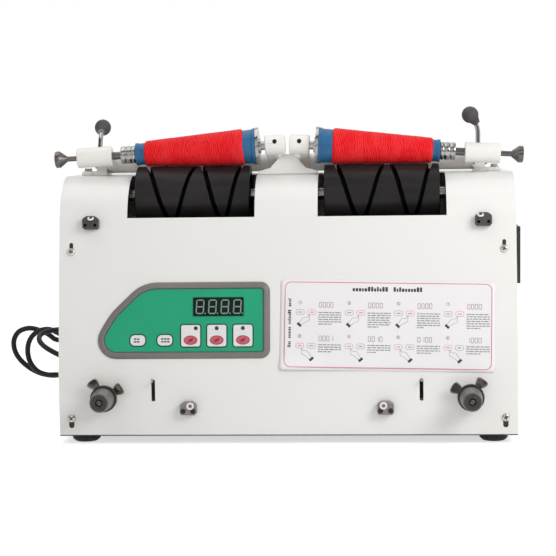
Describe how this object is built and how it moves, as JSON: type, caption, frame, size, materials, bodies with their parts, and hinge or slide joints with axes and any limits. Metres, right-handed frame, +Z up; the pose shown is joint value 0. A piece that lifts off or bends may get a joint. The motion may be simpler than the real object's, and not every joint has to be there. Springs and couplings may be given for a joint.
{
  "type": "cone winding machine",
  "caption": "Bench-top yarn winder: a bent sheet casing with grooved drums that turn wound cones held in swinging cradles, a slanted control panel and yarn tensioners.",
  "frame": {"origin": "under the middle of the machine without its lead, on the surface that it stands on", "axes": "+X to the right seen from the front, along the drums; +Y from the front to the back; +Z up"},
  "size_m": [0.8013, 0.4762, 0.4596],
  "materials": {
    "bezel_grey": "grey",
    "black_bakelite": "black moulded resin",
    "black_paint": "black paint",
    "black_rubber": "matt black",
    "chrome": "bright plated",
    "cone_blue": "blue moulded",
    "dark_steel": "dark steel",
    "display_black": "dark window",
    "grey_plastic": "dark grey",
    "key_white": "white keycaps",
    "panel_green": "green overlay",
    "steel": "ground steel",
    "white_paint": "satin white paint",
    "yarn_red": "red wound yarn"
  },
  "bodies": {
    "machine": {"base_plate": "black_paint", "centre_pedestal": "white_paint", "control_bezel": "bezel_grey", "control_panel": "panel_green", "cord": "black_rubber", "cord_coil": "black_rubber", "cord_gland": "black_rubber", "display_window": "display_black", "drive_belt": "black_rubber", "foot_front_left": "black_rubber", "foot_front_right": "black_rubber", "foot_rear_left": "black_rubber", "foot_rear_right": "black_rubber", "front_casing": "white_paint", "left_bearing": "steel", "left_lower_guide": "grey_plastic", "left_pedestal": "white_paint", "left_side_plate": "white_paint", "left_tension_post": "steel", "left_upper_guide": "grey_plastic", "motor": "dark_steel", "pivot_rod": "steel", "plug": "black_rubber", "rear_panel": "white_paint", "right_bearing": "steel", "right_lower_guide": "grey_plastic", "right_pedestal": "white_paint", "right_side_plate": "white_paint", "right_tension_post": "steel", "right_upper_guide": "grey_plastic", "vent_guard": "black_paint"},
    "drums": {"drum_shaft": "steel", "left_drum": "black_bakelite", "right_drum": "black_bakelite"},
    "motor_rotor": {"motor_pulley": "steel"},
    "left_cradle": {"left_cradle_frame": "white_paint"},
    "left_plunger_rod": {"left_plunger": "chrome"},
    "left_small_end": {"left_small_adaptor": "chrome"},
    "left_package": {"left_cone": "cone_blue", "left_yarn": "yarn_red", "left_big_adaptor": "chrome"},
    "left_ball_lever": {"left_lever": "chrome"},
    "left_stop": {"left_stop_lever": "chrome"},
    "left_discs": {"left_tension_discs": "dark_steel"},
    "left_knob": {"left_tension_knob": "grey_plastic"},
    "right_cradle": {"right_cradle_frame": "white_paint"},
    "right_plunger_rod": {"right_plunger": "chrome"},
    "right_small_end": {"right_small_adaptor": "chrome"},
    "right_package": {"right_cone": "cone_blue", "right_yarn": "yarn_red", "right_big_adaptor": "chrome"},
    "right_ball_lever": {"right_lever": "chrome"},
    "right_stop": {"right_stop_lever": "chrome"},
    "right_discs": {"right_tension_discs": "dark_steel"},
    "right_knob": {"right_tension_knob": "grey_plastic"},
    "key_1_cap": {"key_1": "key_white"},
    "key_2_cap": {"key_2": "key_white"},
    "key_3_cap": {"key_3": "key_white"},
    "key_4_cap": {"key_4": "key_white"},
    "key_5_cap": {"key_5": "key_white"}
  },
  "joints": [
    {"name": "drum_spin", "type": "hinge", "parent": "machine", "child": "drums", "pos_m": [0, -0.0299, 0.34], "axis": [1, 0, 0], "continuous": true},
    {"name": "motor_spin", "type": "hinge", "parent": "machine", "child": "motor_rotor", "pos_m": [0, 0.06805, 0.0752], "axis": [1, 0, 0], "continuous": true},
    {"name": "left_cradle_lift", "type": "hinge", "parent": "machine", "child": "left_cradle", "pos_m": [-0.02346, 0.0341, 0.3835], "axis": [-1, 0, 0], "range_deg": [0, 55]},
    {"name": "left_plunger_slide", "type": "slide", "parent": "left_cradle", "child": "left_plunger_rod", "axis": [-0.9984, 0, -0.0558], "range_m": [0, 0.012], "stiffness_N_per_m": 400, "springref_m": -0.01},
    {"name": "left_small_end_spin", "type": "hinge", "parent": "left_plunger_rod", "child": "left_small_end", "pos_m": [-0.22523, -0.0299, 0.39774], "axis": [0.9984, 0, 0.0558], "continuous": true},
    {"name": "left_package_spin", "type": "hinge", "parent": "left_cradle", "child": "left_package", "pos_m": [-0.12898, -0.0299, 0.40312], "axis": [0.9984, 0, 0.0558], "continuous": true},
    {"name": "left_lever_turn", "type": "hinge", "parent": "left_cradle", "child": "left_ball_lever", "pos_m": [-0.26677, -0.0299, 0.39542], "axis": [0, 0.4617, 0.887], "range_deg": [-90, 90]},
    {"name": "left_stop_drop", "type": "hinge", "parent": "machine", "child": "left_stop", "pos_m": [-0.18399, -0.08395, 0.0876], "axis": [1, 0, 0], "range_deg": [0, 28], "stiffness_Nm_per_rad": 0.01, "springref_deg": -22.92},
    {"name": "left_discs_spin", "type": "hinge", "parent": "machine", "child": "left_discs", "pos_m": [-0.24999, -0.12195, 0.0668], "axis": [0, -1, 0], "continuous": true},
    {"name": "left_knob_turn", "type": "hinge", "parent": "machine", "child": "left_knob", "pos_m": [-0.24999, -0.12195, 0.0668], "axis": [0, -1, 0], "range_deg": [-180, 180]},
    {"name": "right_cradle_lift", "type": "hinge", "parent": "machine", "child": "right_cradle", "pos_m": [0.02346, 0.0341, 0.3835], "axis": [-1, 0, 0], "range_deg": [0, 55]},
    {"name": "right_plunger_slide", "type": "slide", "parent": "right_cradle", "child": "right_plunger_rod", "axis": [0.9984, 0, -0.0558], "range_m": [0, 0.012], "stiffness_N_per_m": 400, "springref_m": -0.01},
    {"name": "right_small_end_spin", "type": "hinge", "parent": "right_plunger_rod", "child": "right_small_end", "pos_m": [0.22523, -0.0299, 0.39774], "axis": [0.9984, 0, -0.0558], "continuous": true},
    {"name": "right_package_spin", "type": "hinge", "parent": "right_cradle", "child": "right_package", "pos_m": [0.12898, -0.0299, 0.40312], "axis": [0.9984, 0, -0.0558], "continuous": true},
    {"name": "right_lever_turn", "type": "hinge", "parent": "right_cradle", "child": "right_ball_lever", "pos_m": [0.26677, -0.0299, 0.39542], "axis": [0, 0, 1], "range_deg": [-90, 90]},
    {"name": "right_stop_drop", "type": "hinge", "parent": "machine", "child": "right_stop", "pos_m": [0.18399, -0.08395, 0.0876], "axis": [1, 0, 0], "range_deg": [0, 28], "stiffness_Nm_per_rad": 0.01, "springref_deg": -22.92},
    {"name": "right_discs_spin", "type": "hinge", "parent": "machine", "child": "right_discs", "pos_m": [0.24999, -0.12195, 0.0668], "axis": [0, -1, 0], "continuous": true},
    {"name": "right_knob_turn", "type": "hinge", "parent": "machine", "child": "right_knob", "pos_m": [0.24999, -0.12195, 0.0668], "axis": [0, -1, 0], "range_deg": [-180, 180]},
    {"name": "key_1_press", "type": "slide", "parent": "machine", "child": "key_1_cap", "axis": [0, 0.9877, -0.1564], "range_m": [0, 0.0008], "stiffness_N_per_m": 600, "springref_m": -0.0003},
    {"name": "key_2_press", "type": "slide", "parent": "machine", "child": "key_2_cap", "axis": [0, 0.9877, -0.1564], "range_m": [0, 0.0008], "stiffness_N_per_m": 600, "springref_m": -0.0003},
    {"name": "key_3_press", "type": "slide", "parent": "machine", "child": "key_3_cap", "axis": [0, 0.9877, -0.1564], "range_m": [0, 0.0008], "stiffness_N_per_m": 600, "springref_m": -0.0003},
    {"name": "key_4_press", "type": "slide", "parent": "machine", "child": "key_4_cap", "axis": [0, 0.9877, -0.1564], "range_m": [0, 0.0008], "stiffness_N_per_m": 600, "springref_m": -0.0003},
    {"name": "key_5_press", "type": "slide", "parent": "machine", "child": "key_5_cap", "axis": [0, 0.9877, -0.1564], "range_m": [0, 0.0008], "stiffness_N_per_m": 600, "springref_m": -0.0003}
  ],
  "couplings": [
    {"joint": "motor_spin", "follows": "drum_spin", "ratio": 1.5833},
    {"joint": "left_small_end_spin", "follows": "drum_spin", "ratio": -1.8762},
    {"joint": "left_package_spin", "follows": "drum_spin", "ratio": -1.8762},
    {"joint": "right_small_end_spin", "follows": "drum_spin", "ratio": -1.8762},
    {"joint": "right_package_spin", "follows": "drum_spin", "ratio": -1.8762}
  ]
}
